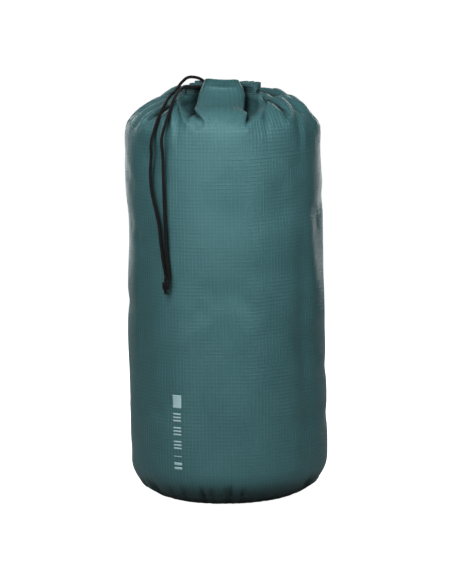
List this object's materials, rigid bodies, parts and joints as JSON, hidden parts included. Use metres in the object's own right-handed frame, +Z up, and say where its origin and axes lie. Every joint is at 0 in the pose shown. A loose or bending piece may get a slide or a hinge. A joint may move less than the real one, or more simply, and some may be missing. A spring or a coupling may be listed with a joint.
{
  "type": "stuff sack",
  "caption": "Drawstring stuff sack of ripstop cloth, filled out to a cylinder, with a sewn-in round base, gathered neck, cord channel and two knotted cord ends",
  "frame": {"origin": "centre of the flat base, on the surface that the sack rests on", "axes": "+Z up the sack to its mouth; -Y is the front, where both cord ends leave the hem and where the printed mark is; +Y is the side seam; +X is the right when looking at the front turned half round"},
  "size_m": [0.271, 0.2844, 0.578],
  "materials": {
    "cloth_wall": "silicone-coated ripstop nylon, 5 mm grid, soft sheen",
    "cloth_base": "the same ripstop, seen more in shade",
    "cloth_hem": "the same ripstop, folded double and stitched",
    "cloth_inside": "coated back face of the ripstop",
    "binding": "woven binding tape",
    "thread": "polyester sewing thread, matched to the cloth",
    "cord": "braided polyester cord, matt black",
    "ink": "pale screen-printed film on the cloth"
  },
  "bodies": {
    "sack": {"body_panel": "cloth_wall", "base_panel": "cloth_base", "side_seam_allowance": "cloth_inside", "side_seam_stitching": "thread", "base_seam_stitching": "thread", "base_seam_binding": "binding", "printed_mark": "ink"},
    "neck": {"drawcord_hem": "cloth_hem", "exit_buttonholes": "thread", "hem_stitching": "thread", "channel_cord": "cord"},
    "shoulder_cords": {"cord_left_shoulder": "cord", "cord_right_shoulder": "cord"},
    "bend_cords": {"cord_left_bend": "cord", "cord_right_bend": "cord"},
    "hanging_cords": {"cord_left_hanging": "cord", "cord_right_hanging": "cord"},
    "lower_cords": {"cord_left_lower": "cord", "cord_right_lower": "cord"},
    "knot": {"end_knot": "cord", "cord_tip_left": "cord", "cord_tip_right": "cord"}
  },
  "joints": [
    {"name": "neck_rise", "type": "slide", "parent": "sack", "child": "neck", "axis": [0, 0, 1], "range_m": [0, 0.04]},
    {"name": "cord_lift", "type": "hinge", "parent": "neck", "child": "shoulder_cords", "pos_m": [0, -0.05136, 0.5705], "axis": [-1, 0, 0], "range_deg": [0, 35]},
    {"name": "cord_hang", "type": "hinge", "parent": "shoulder_cords", "child": "bend_cords", "pos_m": [-0.00825, -0.13301, 0.50976], "axis": [-1, 0, 0], "range_deg": [0, 30]},
    {"name": "cord_swing", "type": "hinge", "parent": "bend_cords", "child": "hanging_cords", "pos_m": [-0.0118, -0.1385, 0.486], "axis": [0, 1, 0], "range_deg": [-15, 15]},
    {"name": "cord_pull", "type": "slide", "parent": "hanging_cords", "child": "lower_cords", "axis": [0, 0, -1], "range_m": [0, 0.04], "deforming": ["cord_left_lower", "cord_right_lower"]},
    {"name": "knot_tilt", "type": "hinge", "parent": "lower_cords", "child": "knot", "pos_m": [0, -0.1385, 0.317], "axis": [-1, 0, 0], "range_deg": [0, 50]}
  ]
}
